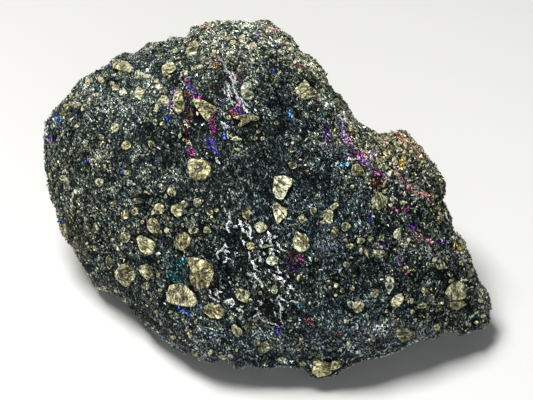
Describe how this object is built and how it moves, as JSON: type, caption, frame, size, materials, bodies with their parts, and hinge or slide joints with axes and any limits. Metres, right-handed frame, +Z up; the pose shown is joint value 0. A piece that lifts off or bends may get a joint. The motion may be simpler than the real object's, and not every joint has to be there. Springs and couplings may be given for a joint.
{
  "type": "chalcopyrite specimen",
  "caption": "Rough hand-sized lump of dark copper ore with brassy chalcopyrite grains, standing on a flat broken base.",
  "frame": {"origin": "on the ground, under the middle of the stone's bounding box", "axes": "+Z up; the broad show face leans back and looks towards -Y and up; +X is to the right as that face is seen"},
  "size_m": [0.12, 0.0836, 0.0726],
  "materials": {
    "ore": "rough, dark and glittering, with brassy grains and spots of iridescent tarnish"
  },
  "bodies": {
    "root": {"ore_stone": "ore"}
  },
  "joints": []
}
